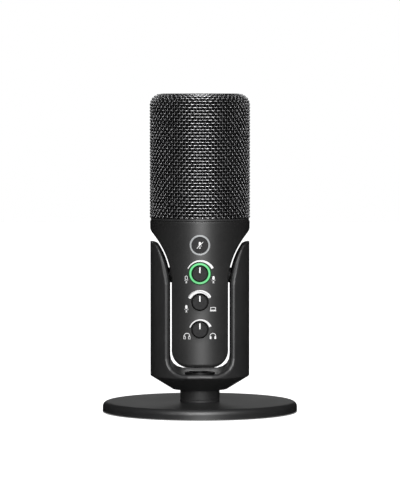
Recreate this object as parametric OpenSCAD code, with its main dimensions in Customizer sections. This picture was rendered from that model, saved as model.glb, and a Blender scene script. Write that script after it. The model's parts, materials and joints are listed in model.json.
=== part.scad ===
// Desktop USB microphone: a mesh-headed body that tilts in a U-shaped yoke on a round table base.
// Origin: centre of the base on the table. +Z up, the controls face -Y. Millimetres.

/* [Base] */
// Diameter of the round base
base_d = 117.4; // [100:0.5:140]
// Thickness of the steel base plate
base_t = 6.2; // [5:0.1:9]
// Radius of the rounded top edge of the base
base_edge_r = 3; // [1:0.1:4]
// How far the rubber foot stands below the plate
foot_proud = 0.4; // [0.3:0.05:1]
// Full thickness of the rubber foot
foot_t = 1.4; // [1.2:0.1:2]
// Distance from the plate's edge to the foot
foot_inset = 4; // [3:0.5:8]

/* [Post] */
// Diameter of the post between base and yoke
post_d = 23.8; // [22:0.1:27]
// Height of the post above the base plate
post_h = 7.5; // [6:0.1:12]
// Height of the lower ring of the post
post_ring_h = 1.5; // [1:0.1:2.5]
// Diameter of the stand thread (3/8 inch)
stud_d = 9.5; // [8:0.1:10]

/* [Yoke] */
// How far the yoke's round side stands inside the body's
yoke_inset = 0.15; // [0:0.05:1]
// Thickness of the yoke's floor below the swinging body
yoke_floor_t = 4.8; // [4:0.1:8]
// Height of the arm tips above the tilt axis
arm_h = 20.7; // [19:0.1:22]
// Gap between the lower body and each arm
slot_gap = 1.18; // [1:0.02:1.6]
// Radius of the flare on the inner side of each arm
arm_flare_r = 43; // [40:0.5:46]
// Radius of the rounded arm tips
arm_tip_r = 8.2; // [7:0.1:9]
// Depth of the crown's axis below the tilt axis
crown_drop = 55; // [45:1:65]
// Height of the tapered underside
taper_h = 8.2; // [6:0.1:10]
// Radius of the rounded edge above the tapered underside
taper_edge_r = 1; // [0.5:0.1:2]
// Diameter of the flat underside
yoke_foot_d = 33; // [30:0.5:38]
// Radius of the rounded edges along the slot
slot_edge_r = 2; // [1:0.1:2.5]
// Radius of those edges at the arm tips
tip_edge_r = 0.6; // [0.4:0.1:1]
// Running gap below the swinging body
swing_gap = 2.3; // [1.5:0.1:3]

/* [Body] */
// Outer diameter of the body and the mesh head
body_d = 60; // [59:0.1:64]
// Width of the lower body
tongue_w = 33.7; // [32.5:0.1:35]
// Length of the lower body below the tilt axis
tongue_len = 53.8; // [53:0.1:55]
// Height of the collar's top edge above the tilt axis
neck_h = 33.2; // [32:0.1:36]
// Radius of the shoulder curve
shoulder_r = 45.3; // [44:0.1:47]
// Depth of the shoulder curve's centre below the tilt axis
shoulder_drop = 4.8; // [4:0.1:6]
// Radius of the lower corners of the body
tongue_corner_r = 10; // [8:0.5:11]
// Radius of the rounded side edges of the lower body
side_edge_r = 2; // [1:0.1:2.5]
// Radius of the rounding where the collar turns into the shoulder
collar_turn_r = 3.5; // [2:0.1:5]
// Wall of the housing
wall = 2.3; // [1.8:0.1:2.6]
// Depth of the solid control panel behind the front
panel_t = 6; // [5.5:0.1:7]

/* [Head] */
// Height of the mesh head above the collar
head_h = 76.1; // [60:0.5:90]
// Outer radius of the head's rounded top corner
head_corner_r = 7; // [6:0.5:9]
// Number of upright wires
wire_count = 72; // [36:2:106]
// Height between two hoops
hoop_pitch = 2.8; // [1.8:0.1:5]
// Diameter of the mesh wire
wire_d = 0.72; // [0.5:0.02:0.8]
// Spacing of the wires in the flat top
top_pitch = 2.4; // [1.8:0.1:4]
// Thickness of the foam liner
foam_t = 4; // [3:0.5:6]

/* [Controls] */
// Height of the mute button above the tilt axis
mute_up = 19.3; // [18.5:0.1:19.6]
// Height of the gain knob above the tilt axis
gain_up = 2.4; // [1.8:0.1:3]
// Height of the mix knob (negative is below the axis)
mix_up = -14.6; // [-15.5:0.1:-14]
// Height of the headphone knob (negative is below the axis)
phones_up = -30.9; // [-32:0.1:-30]
// Diameter of the rotary knobs
knob_d = 8.9; // [8:0.1:9.2]
// How far the knobs stand out of the body
knob_out = 4.4; // [3:0.1:6]
// Diameter of the recess round each knob
knob_recess_d = 10.6; // [10.2:0.1:11]
// Diameter of the mute button
mute_d = 9.9; // [9:0.1:10]
// Travel of the mute button
mute_travel = 0.6; // [0.3:0.1:0.8]
// Outer diameter of the light ring round the mute button
mute_ring_d = 12.1; // [12:0.1:13]
// Inner diameter of the light ring round the gain knob
gain_ring_in = 10; // [9.8:0.1:10.4]
// Outer diameter of the light ring round the gain knob
gain_ring_out = 12.8; // [12.2:0.1:13.4]
// Diameter of the potentiometer shafts
shaft_d = 4; // [3:0.1:4.5]

/* [Sockets] */
// Height of the sockets below the tilt axis
socket_down = 32.8; // [31:0.1:34]
// Sideways place of the USB socket
usb_x = -5.2; // [-5.4:0.1:-4.6]
// Sideways place of the headphone jack
jack_x = 5.8; // [5.2:0.1:6]
// Bore of the headphone jack
jack_bore_d = 3.6; // [3.5:0.02:3.8]

/* [Hidden] */
$fn = 96;

eps = 0.01;         // overlap of a cutter past the face it opens
over = 1;           // how far a cutter runs past a face
join = 0.2;         // how far two joined solids run into each other
fit = 0.05;         // radial clearance of a running or seated round fit
gap = 0.3;          // clearance between curved faces of different pieces
face_gap = 0.1;     // clearance between flat faces that slide

tilt_limit = 15;    // swing of the body each way

// heights
plate_z0 = foot_proud;
plate_z1 = plate_z0 + base_t;
yoke_z0 = plate_z1 + post_h;

// radii
body_r = body_d / 2;
yoke_r = body_r - yoke_inset;
tongue_x = tongue_w / 2;
slot_x = tongue_x + slot_gap;
swing_r = sqrt(tongue_len * tongue_len + body_r * body_r);
floor_r = swing_r + swing_gap;
slot_corner_r = tongue_corner_r + slot_gap;
pivot_z = yoke_z0 + yoke_floor_t + floor_r;

// base fixings
stud_r = stud_d / 2;
bolt_head_rim = 3.5;
bolt_head_r = stud_r + bolt_head_rim;
bolt_head_h = 2.4;
bolt_hex_r = 3;
bolt_hex_depth = 1.6;
foot_bore_inset = 1.5;
foot_r0 = bolt_head_r + foot_bore_inset;
foot_r1 = base_d / 2 - foot_inset;
seam_chamfer = 0.25;
insert_wall = 2;
insert_r = stud_r + fit + insert_wall;
boss_wall = 2.2;
boss_r = insert_r + fit + boss_wall;
boss_clear = 3;
boss_top = pivot_z - tongue_len / cos(tilt_limit) - boss_clear;
insert_z1 = boss_top - gap;
stud_short = 1;
stud_z1 = insert_z1 - stud_short;

// tilt joint
pin_r = 2.5;
bush_wall = 1.5;
bush_r = pin_r + fit + bush_wall;
bush_len = 6.4;
bush_out = 0.1;
bush_x0 = tongue_x + bush_out - bush_len;
pin_end_gap = 0.4;
pivot_boss_r = 4.6;
pivot_boss_root = 4;
bush_boss_rim = 2.4;
bush_boss_r = bush_r + bush_boss_rim;
bush_boss_wall = 1;
screw_head_r = 4.5;
screw_head_h = 1.9;
screw_hex_r = 1.5;
screw_hex_depth = 1;
spring_t = 0.6;
cap_t = 1.4;
cap_r = 5.1;
cap_x0 = yoke_r - cap_t;
head_x1 = cap_x0 - gap;
head_x0 = head_x1 - screw_head_h;
seat_x = head_x0 - spring_t;
flare_bite = 0.15;
crown_sweep = 80;    // degrees of turn that clear the arm tips
arm_tip_z = arm_h - arm_tip_r;
flare_x = slot_x + arm_flare_r - flare_bite;
flare_b0 = acos((flare_x - slot_x) / arm_flare_r);
flare_b1 = 31;       // degrees along the flare at which the tip's rounding takes over
tip_turn = 64;       // degrees about Z from the front at which the flare's rounding takes over

// rounded edges
edge_steps = 5;      // facets across a rounding
edge_over = 0.5;     // how far the cutter of a rounding stands off the faces
edge_lift = 0.03;    // how far the ends of its arc stand off them
shoulder_x = tongue_x + shoulder_r - flare_bite;
shoulder_b0 = acos((shoulder_x - tongue_x) / shoulder_r);
shoulder_b1 = acos((shoulder_x - body_r + collar_turn_r) / (shoulder_r + collar_turn_r));

// housing
panel_y = -body_r + panel_t;
cavity_x = tongue_x - wall;
bowl_clear = 0.2;
bowl_r = body_r - wall - bowl_clear;
bowl_depth = 5.6;
bowl_floor = neck_h - bowl_depth;
deck_t = 2.7;        // between the cavity and the bowl under the head
cavity_top = bowl_floor - deck_t;
duct_x = 11;
duct_y = 11;
cover_t = 4;         // from the cover's seat to the round back
cover_seat_y = body_r - cover_t;
cover_seat_t = 3.5;  // wall that the cover seats on
cavity_y1 = cover_seat_y - cover_seat_t;
cover_x = 12.4;
cover_rise = 7;      // from the body's underside to the cover
cover_z0 = -tongue_len + cover_rise;
cover_drop = 14;     // from the collar's top to the cover
cover_z1 = neck_h - cover_drop;
cover_r = 3;
opening_x = 10.5;
opening_inset = 6;
opening_z0 = cover_z0 + opening_inset;
opening_z1 = cover_z1 - opening_inset;
cover_screw_x = 8;
cover_screw_in = 3;
cover_screw_r = 2;
cover_screw_h = 0.9;
cover_screw_floor = 0.9;
small_hex_r = 0.8;
small_hex_depth = 0.6;
cover_clear = 0.12;
collar_edge_r = 0.8;

// boards
board_t = 1.6;
board_x = opening_x - gap;
control_back = 9.8;  // from the panel to the control board
control_y = panel_y + control_back;
main_front = 9.9;    // from the rear wall to the main board
main_y = cavity_y1 - main_front;
board_rise = 6;      // from the body's underside to the boards
board_z0 = -tongue_len + board_rise;
control_rise = 4.4;
control_z1 = mute_up + control_rise;
main_drop = 2.2;     // from the cover's top edge to the main board's
main_z1 = cover_z1 - main_drop;
spacer_r = 2;
spacer_x = 7.9;
spacer_in = [4, 5.8]; // from the main board's lower and upper edge
spacer_zs = [board_z0 + spacer_in[0], main_z1 - spacer_in[1]];
spacer_stud_r = 1;   // also the radius of the small screws
stud_hole = 5;       // depth of the holes for the small screws
stud_len = 4.5;      // length of a small screw beyond the piece it holds
standoff_r = 3.2;

// controls
recess_depth = 2.6;
recess_y = -body_r + recess_depth;
knob_r = knob_d / 2;
knob_y1 = recess_y - gap;
knob_y0 = -body_r - knob_out;
knob_skin = 1.2;
shaft_r = shaft_d / 2;
pot_w = 9.6;
pot_h = 5.3;
pot_y0 = control_y - pot_h;
bushing_wall = 1.4;
bushing_r = shaft_r + bushing_wall;
shaft_in = 3;
shaft_y1 = pot_y0 + shaft_in;
pointer_w = 0.8;
pointer_t = 0.3;
pointer_len = 3.4;
pointer_rim = 0.5;
pointer_fit = 0.02;
knob_edge = 0.4;
ring_depth = 2.4;
ring_y1 = -body_r + ring_depth;
mute_r = mute_d / 2;
mute_proud = 0.2;
mute_t = 2.3;
mute_y0 = -body_r - mute_proud;
mute_y1 = mute_y0 + mute_t;
mute_floor_y = mute_y1 + mute_travel + gap;
stem_r = 1.5;
switch_w = 6;
switch_h = 3.6;
switch_y0 = control_y - switch_h;
plunger_r = 1.1;
plunger_len = 1.6;
plunger_in = 0.5;
stem_y1 = switch_y0 - plunger_len + plunger_in;

// sockets
socket_in = 1;       // from the round back to the socket's mouth
socket_y1 = body_r - socket_in;
usb_w = 8.94;
usb_h = 3.26;
usb_shell = 0.35;
usb_tongue_w = 6.7;
usb_tongue_t = 0.7;
usb_len = 9.8;
usb_corner_r = 1.3;
usb_mouth_r = 1;
usb_tongue_in = 0.8;
socket_clear = 0.15;
jack_w = 7;
jack_barrel_r = 3;
jack_barrel_len = 2.4;
jack_depth = 14;
jack_shoulder = 1.5;
socket_z = -socket_down;

// head
wire_r = wire_d / 2;
wire_sides = 6;      // facets round a mesh wire
layer_gap = 0.08;
head_z1 = neck_h + head_h;
frame_gap = 0.2;
frame_t = 1.2;
frame_z1 = neck_h + frame_gap + frame_t;
hoop_R = body_r - wire_r;
wire_R = hoop_R - wire_d - layer_gap;
frame_inset = 0.4;   // of the frame's flange behind the round side
frame_r1 = body_r - frame_inset;
foam_clear = 0.25;
foam_r = wire_R - wire_r - foam_clear;
frame_r0 = foam_r - foam_t;
corner_z = head_z1 - head_corner_r;
hoop_corner_r = head_corner_r - wire_r;
wire_corner_r = hoop_corner_r - wire_d - layer_gap;
top_ring_r = 0.74;
top_ring_R = wire_R - wire_corner_r - top_ring_r;
top_disc_r = top_ring_R - top_ring_r - layer_gap;
foam_top = head_z1 - 2 * wire_d - layer_gap - gap;
foam_corner_r = wire_corner_r - wire_r;
plate_t = 1.6;
plate_top = bowl_floor + plate_t;
pan_r = 1.9;
pan_h = 1.2;
plate_screw_in = 1.3; // from the head frame's bore to the screws
plate_screw_R = frame_r0 - pan_r - plate_screw_in;
mount_screw_x = 6.5;
wire_hole_y = -13;
wire_hole_r = 2.5;
capsule_r = 8;
capsule_t = 9;
capsule_up = 44;
capsule_z = plate_top + capsule_up;
isolator_t = 2.4;
cradle_t = 2;
cradle_w = 8;
cradle_foot_r = 9;
cradle_foot_t = 2;
cradle_stem_r = 4;

function disc_half(r, y) = sqrt(max(r * r - y * y, 0));

// ---- helpers -------------------------------------------------------------------------------

// cylinder along Y from y0 to y1
module ycyl(r, y0, y1) {
    translate([0, y1, 0]) rotate([90, 0, 0]) cylinder(h = y1 - y0, r = r);
}

// cylinder along X from x0 to x1
module xcyl(r, x0, x1) {
    translate([x0, 0, 0]) rotate([0, 90, 0]) cylinder(h = x1 - x0, r = r);
}

// box from one corner to the other
module block(p, q) {
    translate(p) cube([q[0] - p[0], q[1] - p[1], q[2] - p[2]]);
}

// the children and their mirror image on the other side
module both_sides() {
    children();
    mirror([1, 0, 0]) children();
}

// lays a front outline (x, height) into the X-Z plane and extrudes it from y0 to y1
module front_extrude(y0, y1) {
    translate([0, y1, 0]) rotate([90, 0, 0]) linear_extrude(height = y1 - y0) children();
}

// turns a profile (x along the axis, y away from it) about the X axis, centred on the upward side
module turn_about_x(sweep = 360) {
    rotate([180 - sweep / 2, 0, 0]) rotate([0, 90, 0])
        rotate_extrude(angle = sweep) rotate([0, 0, 90]) mirror([0, 1, 0]) children();
}

// rectangle centred on X with round corners, from z0 to z1
module round_rect(half_w, z0, z1, r) {
    translate([-half_w + r, z0]) square([2 * (half_w - r), z1 - z0]);
    translate([-half_w, z0 + r]) square([2 * half_w, z1 - z0 - 2 * r]);
    for (x = [-half_w + r, half_w - r], z = [z0 + r, z1 - r]) translate([x, z]) circle(r = r);
}

// the first child less the second and its mirror images on the other side and behind, one by one
module less_edges(k = 4) {
    if (k == 0) children(0);
    else difference() {
        less_edges(k - 1) { children(0); children(1); }
        mirror([k % 2, 0, 0]) mirror([0, k > 2 ? 1 : 0, 0]) children(1);
    }
}

// ring of a cutter round the centre c of a rounding, between the normals n1 and n2 of its two faces
function edge_ring(c, n1, n2, r) = let (turn = acos(n1 * n2)) concat(
    [c + (r + edge_over) * n1],
    [for (k = [0 : edge_steps]) let (
            t = turn * k / edge_steps, out = k == 0 || k == edge_steps ? edge_lift : 0)
        c + (r + out) * (sin(turn - t) * n1 + sin(t) * n2) / sin(turn)],
    [c + (r + edge_over) * n2, c + (r + edge_over) * (n1 + n2) / (1 + n1 * n2)]);

// ring where the round side R meets a surface extruded along Y, at its point [x, z] with normal n
function straight_ring(R, x, z, n, r) = let (
        px = x - r * n[0], y = -disc_half(R - r, px))
    edge_ring([px, y, z - r * n[1]], [px, y, 0] / (R - r), [n[0], 0, n[1]], r);

// ring where the round side R meets a surface turned about the line z = axis_z along X, at its
// point [x, h] with normal n, h counted from that line and up (1) or down (-1)
function turned_ring(R, x, h, n, axis_z, up, r) = let (
        px = x - r * n[0], ph = h - r * n[1], y = -disc_half(R - r, px), z = up * disc_half(ph, y))
    edge_ring([px, y, axis_z + z], [n[0], n[1] * y / ph, n[1] * z / ph], [px, y, 0] / (R - r), r);

// solid through rings of equal point count; the first ring is repeated behind its own place
module swept(rings) {
    n = len(rings[0]);
    all = concat([[for (q = rings[0]) q + [0, edge_over, 0]]], rings);
    last = len(all) - 1;
    polyhedron(points = [for (ring = all, q = ring) q], faces = concat(
        [[for (k = [0 : n - 1]) k], [for (k = [0 : n - 1]) last * n + n - 1 - k]],
        [for (i = [0 : last - 1], k = [0 : n - 1]) [i * n + k, i * n + n + k, i * n + (k + 1) % n]],
        [for (i = [0 : last - 1], k = [0 : n - 1])
            [i * n + (k + 1) % n, i * n + n + k, i * n + n + (k + 1) % n]]));
}

module at_pivot() {
    translate([0, 0, pivot_z]) children();
}

// ---- stand ---------------------------------------------------------------------------------

module base_plate() {
    color("#2b2b2d") difference() {
        rotate_extrude() {
            translate([0, plate_z0]) square([base_d / 2 - base_edge_r, base_t]);
            translate([0, plate_z0]) square([base_d / 2, base_t - base_edge_r]);
            translate([base_d / 2 - base_edge_r, plate_z1 - base_edge_r]) circle(r = base_edge_r);
        }
        translate([0, 0, -eps]) difference() {
            cylinder(h = foot_t + eps, r = foot_r1 + fit);
            cylinder(h = foot_t + eps, r = foot_r0 - fit);
        }
        translate([0, 0, -eps]) cylinder(h = plate_z0 + bolt_head_h + eps, r = bolt_head_r + gap);
        cylinder(h = plate_z1 + eps, r = stud_r + fit);
    }
}

module base_foot() {
    color("#161616") difference() {
        cylinder(h = foot_t, r = foot_r1);
        translate([0, 0, -eps]) cylinder(h = foot_t + 2 * eps, r = foot_r0);
    }
}

module base_bolt() {
    color("#b9bbbe") difference() {
        union() {
            translate([0, 0, plate_z0 + face_gap])
                cylinder(h = bolt_head_h - face_gap, r = bolt_head_r);
            translate([0, 0, plate_z0 + bolt_head_h - join])
                cylinder(h = stud_z1 - plate_z0 - bolt_head_h + join, r = stud_r);
        }
        translate([0, 0, plate_z0]) cylinder(h = bolt_hex_depth, r = bolt_hex_r, $fn = 6);
    }
}

module post_ring() {
    color("#242426") difference() {
        union() {
            translate([0, 0, plate_z1])
                cylinder(h = post_ring_h - seam_chamfer, r = post_d / 2);
            translate([0, 0, plate_z1 + post_ring_h - seam_chamfer])
                cylinder(h = seam_chamfer, r1 = post_d / 2, r2 = post_d / 2 - seam_chamfer);
        }
        translate([0, 0, plate_z1 - eps]) cylinder(h = post_ring_h + 2 * eps, r = stud_r + fit);
    }
}

module post() {
    z0 = plate_z1 + post_ring_h;
    color("#2a2a2c") difference() {
        union() {
            translate([0, 0, z0])
                cylinder(h = seam_chamfer, r1 = post_d / 2 - seam_chamfer, r2 = post_d / 2);
            translate([0, 0, z0 + seam_chamfer])
                cylinder(h = post_h - post_ring_h - seam_chamfer, r = post_d / 2);
        }
        translate([0, 0, z0 - eps]) cylinder(h = post_h, r = stud_r + fit);
    }
}

// front outline of one arm above and below the tilt axis; the flare and the tip are round
module arm_profile() {
    intersection() {
        translate([flare_x, -shoulder_drop]) circle(r = arm_flare_r);
        union() {
            translate([slot_x - over, -shoulder_drop])
                square([yoke_r, arm_tip_z + shoulder_drop]);
            translate([yoke_r, arm_tip_z]) circle(r = arm_tip_r);
        }
    }
}

// everything above the crowned arm tips, turned about the crown's axis
module crown_cut() {
    translate([0, 0, -crown_drop]) turn_about_x(crown_sweep) translate([0, crown_drop]) difference() {
        translate([slot_x - over, -shoulder_drop]) square([yoke_r, crown_drop]);
        arm_profile();
    }
}

// slot for the swinging body, turned about the tilt axis
module slot_cut() {
    turn_about_x() {
        translate([-slot_x, 0]) square([2 * slot_x, floor_r - slot_corner_r]);
        translate([-slot_x + slot_corner_r, 0]) square([2 * (slot_x - slot_corner_r), floor_r]);
        for (x = [-slot_x + slot_corner_r, slot_x - slot_corner_r])
            translate([x, floor_r - slot_corner_r]) intersection() {
                circle(r = slot_corner_r);
                translate([-slot_corner_r, 0]) square(2 * slot_corner_r);
            }
    }
}

// rounds the slot's front edge on one side, from the arm's tip down to the middle
module slot_edge_cut() {
    tip = [for (k = [0 : 3]) let (
            a = 90 - k * (90 - tip_turn) / 3,
            g = acos(min(1, (yoke_r - (yoke_r - tip_edge_r) * sin(a)) / (arm_tip_r - tip_edge_r))))
        turned_ring(yoke_r, yoke_r - arm_tip_r * cos(g), crown_drop + arm_tip_z + arm_tip_r * sin(g),
            [-cos(g), sin(g)], -crown_drop, 1, tip_edge_r)];
    flare = [for (k = [0 : 5]) let (
            b = flare_b1 + (flare_b0 - flare_b1) * k / 5,
            r = tip_edge_r + (slot_edge_r - tip_edge_r) * min(1, (k + 1) / 4))
        turned_ring(yoke_r, flare_x - arm_flare_r * cos(b),
            crown_drop - shoulder_drop + arm_flare_r * sin(b), [-cos(b), sin(b)], -crown_drop, 1, r)];
    corner = [for (a = [0 : 18 : 90])
        turned_ring(yoke_r, slot_x - slot_corner_r * (1 - cos(a)), floor_r - slot_corner_r * (1 - sin(a)),
            [-cos(a), -sin(a)], 0, -1, slot_edge_r)];
    middle = turned_ring(yoke_r, -edge_over, floor_r, [0, -1], 0, -1, slot_edge_r);
    swept(concat(tip, flare, corner, [middle]));
}

// section of the yoke's outside: flat underside, taper, rounded edge and straight side
module yoke_section() {
    foot_r = yoke_foot_d / 2;
    side = norm([taper_h, yoke_r - foot_r]);
    n = [taper_h, foot_r - yoke_r] / side;
    c = [yoke_r - taper_edge_r, yoke_z0 + taper_h - taper_edge_r * (1 - n[0]) / n[1]];
    polygon([[0, yoke_z0], [foot_r, yoke_z0], c + taper_edge_r * n, [yoke_r, c[1]],
        [yoke_r, pivot_z + arm_h + over], [0, pivot_z + arm_h + over]]);
    translate(c) circle(r = taper_edge_r);
}

module yoke() {
    color("#2a2a2c") difference() {
        union() {
            less_edges() {
                difference() {
                    rotate_extrude() yoke_section();
                    at_pivot() slot_cut();
                    at_pivot() both_sides() crown_cut();
                }
                at_pivot() slot_edge_cut();
            }
            translate([0, 0, yoke_z0 + over]) cylinder(h = boss_top - yoke_z0 - over, r = boss_r);
            at_pivot() both_sides() xcyl(pivot_boss_r, slot_x, slot_x + pivot_boss_root);
        }
        translate([0, 0, yoke_z0 - eps]) cylinder(h = boss_top - yoke_z0 + over, r = insert_r + fit);
        at_pivot() both_sides() {
            xcyl(pin_r + fit, slot_x - over, yoke_r);
            xcyl(cap_r + fit, seat_x, yoke_r + over);
        }
    }
}

module thread_insert() {
    color("#c8a24a") translate([0, 0, yoke_z0]) difference() {
        cylinder(h = insert_z1 - yoke_z0, r = insert_r);
        translate([0, 0, -eps]) cylinder(h = insert_z1 - yoke_z0 + 2 * eps, r = stud_r + fit);
    }
}

module pivot_screws() {
    color("#b9bbbe") at_pivot() both_sides() {
        xcyl(pin_r, bush_x0 + pin_end_gap, head_x0 + join);
        difference() {
            xcyl(screw_head_r, head_x0, head_x1);
            translate([head_x1 - screw_hex_depth, 0, 0]) rotate([0, 90, 0])
                cylinder(h = screw_hex_depth + over, r = screw_hex_r, $fn = 6);
        }
    }
}

module spring_washers() {
    color("#8d8f92") at_pivot() both_sides() difference() {
        xcyl(screw_head_r - gap, seat_x, head_x0);
        xcyl(pin_r + fit, seat_x - over, head_x0 + over);
    }
}

module friction_washers() {
    color("#3a3a3c") at_pivot() both_sides() difference() {
        xcyl(pivot_boss_r - face_gap, tongue_x + bush_out + face_gap, slot_x);
        xcyl(pin_r + fit, tongue_x, slot_x + over);
    }
}

module pivot_caps() {
    color("#2a2a2c") at_pivot() both_sides() intersection() {
        xcyl(cap_r, cap_x0, yoke_r + over);
        translate([0, 0, -2 * cap_r]) cylinder(h = 4 * cap_r, r = yoke_r);
    }
}

// ---- microphone body -------------------------------------------------------------------------

// front outline of the body: narrow below, flaring into the round collar
module body_outline() {
    difference() {
        translate([-body_d, -tongue_len]) square([2 * body_d, tongue_len + neck_h + over]);
        both_sides() {
            intersection() {
                translate([tongue_x, -body_d]) square([body_d, 2 * body_d]);
                union() {
                    translate([shoulder_x, -shoulder_drop]) circle(r = shoulder_r);
                    translate([0, -body_d]) square([body_d, body_d - shoulder_drop]);
                }
            }
            difference() {
                translate([tongue_x - tongue_corner_r, -tongue_len - over])
                    square(tongue_corner_r + over);
                translate([tongue_x - tongue_corner_r, -tongue_len + tongue_corner_r])
                    circle(r = tongue_corner_r);
            }
        }
    }
}

// rounds the body's front edge on one side, from the collar over the shoulder to the middle below
module side_edge_cut() {
    corner_r = tongue_corner_r;
    shoulder = [for (k = [0 : 7]) let (
            b = shoulder_b1 + (shoulder_b0 - shoulder_b1) * pow(k / 7, 2),
            r = collar_turn_r + (side_edge_r - collar_turn_r) * min(1, k / 4))
        straight_ring(body_r, shoulder_x - shoulder_r * cos(b), -shoulder_drop + shoulder_r * sin(b),
            [cos(b), -sin(b)], r)];
    side = straight_ring(body_r, tongue_x, -shoulder_drop, [1, 0], side_edge_r);
    corner = [for (a = [0 : 18 : 90])
        straight_ring(body_r, tongue_x - corner_r * (1 - cos(a)), -tongue_len + corner_r * (1 - sin(a)),
            [cos(a), -sin(a)], side_edge_r)];
    middle = straight_ring(body_r, -edge_over, -tongue_len, [0, -1], side_edge_r);
    swept(concat(shoulder, [side], corner, [middle]));
}

module body_form() {
    less_edges() {
        full_form();
        side_edge_cut();
    }
}

module full_form() {
    intersection() {
        rotate_extrude() {
            translate([0, -tongue_len - over])
                square([body_r, tongue_len + over + neck_h - collar_edge_r]);
            translate([0, neck_h - collar_edge_r - over])
                square([body_r - collar_edge_r, collar_edge_r + over]);
            translate([body_r - collar_edge_r, neck_h - collar_edge_r]) circle(r = collar_edge_r);
        }
        front_extrude(-body_r - over, body_r + over) body_outline();
    }
}

module housing() {
    color("#2a2a2c") at_pivot() difference() {
        union() {
            difference() {
                body_form();
                block([-cavity_x, panel_y, -tongue_len + wall], [cavity_x, cavity_y1, cavity_top]);
                translate([0, 0, bowl_floor]) cylinder(h = body_r, r = bowl_r);
            }
            for (x = [-spacer_x, spacer_x], z = spacer_zs) translate([x, 0, z])
                ycyl(standoff_r, panel_y - over, control_y);
            both_sides() xcyl(bush_boss_r, bush_x0 - bush_boss_wall, cavity_x + over);
        }
        block([-duct_x, -duct_y, cavity_top - over], [duct_x, duct_y, bowl_floor + over]);
        // rear opening and the seat of its cover
        block([-opening_x, cavity_y1 - over, opening_z0], [opening_x, body_r + over, opening_z1]);
        front_extrude(cover_seat_y, body_r + over)
            round_rect(cover_x + cover_clear, cover_z0 - cover_clear, cover_z1 + cover_clear, cover_r);
        cover_screw_places() ycyl(spacer_stud_r + fit, cavity_y1 + gap, cover_seat_y + over);
        // tilt bushes and the flat land round them
        both_sides() {
            xcyl(bush_r + fit, bush_x0, slot_x);
            xcyl(pivot_boss_r + gap, tongue_x, slot_x + over);
        }
        // board standoffs
        for (x = [-spacer_x, spacer_x], z = spacer_zs) translate([x, 0, z])
            ycyl(spacer_stud_r + fit, control_y - stud_hole, control_y + over);
        // chassis screws
        chassis_screw_places() translate([0, 0, bowl_floor - stud_hole])
            cylinder(h = stud_hole + over, r = spacer_stud_r + fit);
        // mute button, its light ring and its stem
        translate([0, 0, mute_up]) {
            ycyl(mute_ring_d / 2 + fit, -body_r - over, ring_y1);
            ycyl(mute_r + face_gap, -body_r - over, mute_floor_y);
            ycyl(stem_r + face_gap, -body_r, panel_y + over);
        }
        // knob recesses and shaft holes
        for (z = [gain_up, mix_up, phones_up]) translate([0, 0, z]) {
            ycyl(knob_recess_d / 2, -body_r - over, recess_y);
            ycyl(shaft_r + face_gap, -body_r, panel_y + over);
        }
        translate([0, 0, gain_up]) difference() {
            ycyl(gain_ring_out / 2 + fit, -body_r - over, ring_y1);
            ycyl(gain_ring_in / 2 - fit, -body_r - 2 * over, ring_y1 + over);
        }
    }
}

module pivot_bushes() {
    color("#b08d57") at_pivot() both_sides() difference() {
        xcyl(bush_r, bush_x0, tongue_x + bush_out);
        xcyl(pin_r + fit, bush_x0 - over, tongue_x + over);
    }
}

module cover_screw_places() {
    for (x = [-cover_screw_x, cover_screw_x], z = [cover_z0 + cover_screw_in, cover_z1 - cover_screw_in])
        translate([x, 0, z]) children();
}

module rear_cover() {
    color("#29292b") at_pivot() difference() {
        intersection() {
            translate([0, 0, cover_z0 - over]) cylinder(h = cover_z1 - cover_z0 + 2 * over, r = body_r);
            front_extrude(cover_seat_y, body_r + over) round_rect(cover_x, cover_z0, cover_z1, cover_r);
        }
        cover_screw_places() {
            ycyl(spacer_stud_r + fit, cover_seat_y - over, body_r);
            ycyl(cover_screw_r + face_gap, cover_seat_y + cover_screw_floor, body_r);
        }
        translate([usb_x, 0, socket_z]) front_extrude(cover_seat_y - over, body_r + over)
            round_rect(usb_w / 2 + socket_clear, -usb_h / 2 - socket_clear, usb_h / 2 + socket_clear,
                usb_corner_r + socket_clear);
        translate([jack_x, 0, socket_z])
            ycyl(jack_barrel_r + face_gap, cover_seat_y - over, body_r + over);
    }
}

module cover_screws() {
    head_y1 = cover_seat_y + cover_screw_floor + cover_screw_h;
    color("#6f7175") at_pivot() cover_screw_places() difference() {
        union() {
            ycyl(spacer_stud_r, cavity_y1 + 2 * gap, cover_seat_y + cover_screw_floor + join);
            ycyl(cover_screw_r, cover_seat_y + cover_screw_floor, head_y1);
        }
        translate([0, head_y1 + over, 0]) rotate([90, 0, 0])
            cylinder(h = small_hex_depth + over, r = small_hex_r, $fn = 6);
    }
}

module chassis_screw_places() {
    for (a = [90, 210, 330]) rotate([0, 0, a]) translate([plate_screw_R, 0, 0]) children();
}

module mount_screw_places() {
    for (x = [-mount_screw_x, mount_screw_x]) translate([x, 0, 0]) children();
}

module chassis_plate() {
    color("#3c3e42") at_pivot() difference() {
        translate([0, 0, bowl_floor]) cylinder(h = plate_t, r = bowl_r - fit);
        translate([0, 0, bowl_floor - over]) {
            chassis_screw_places() cylinder(h = plate_t + 2 * over, r = spacer_stud_r + fit);
            mount_screw_places() cylinder(h = plate_t + 2 * over, r = spacer_stud_r + fit);
            translate([0, wire_hole_y, 0]) cylinder(h = plate_t + 2 * over, r = wire_hole_r);
        }
    }
}

// pan-head screw standing on z = 0 with its shank below
module pan_screw(shank) {
    translate([0, 0, -shank]) cylinder(h = shank, r = spacer_stud_r);
    difference() {
        cylinder(h = pan_h, r = pan_r);
        translate([0, 0, pan_h - small_hex_depth])
            cylinder(h = small_hex_depth + over, r = small_hex_r, $fn = 6);
    }
}

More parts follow.
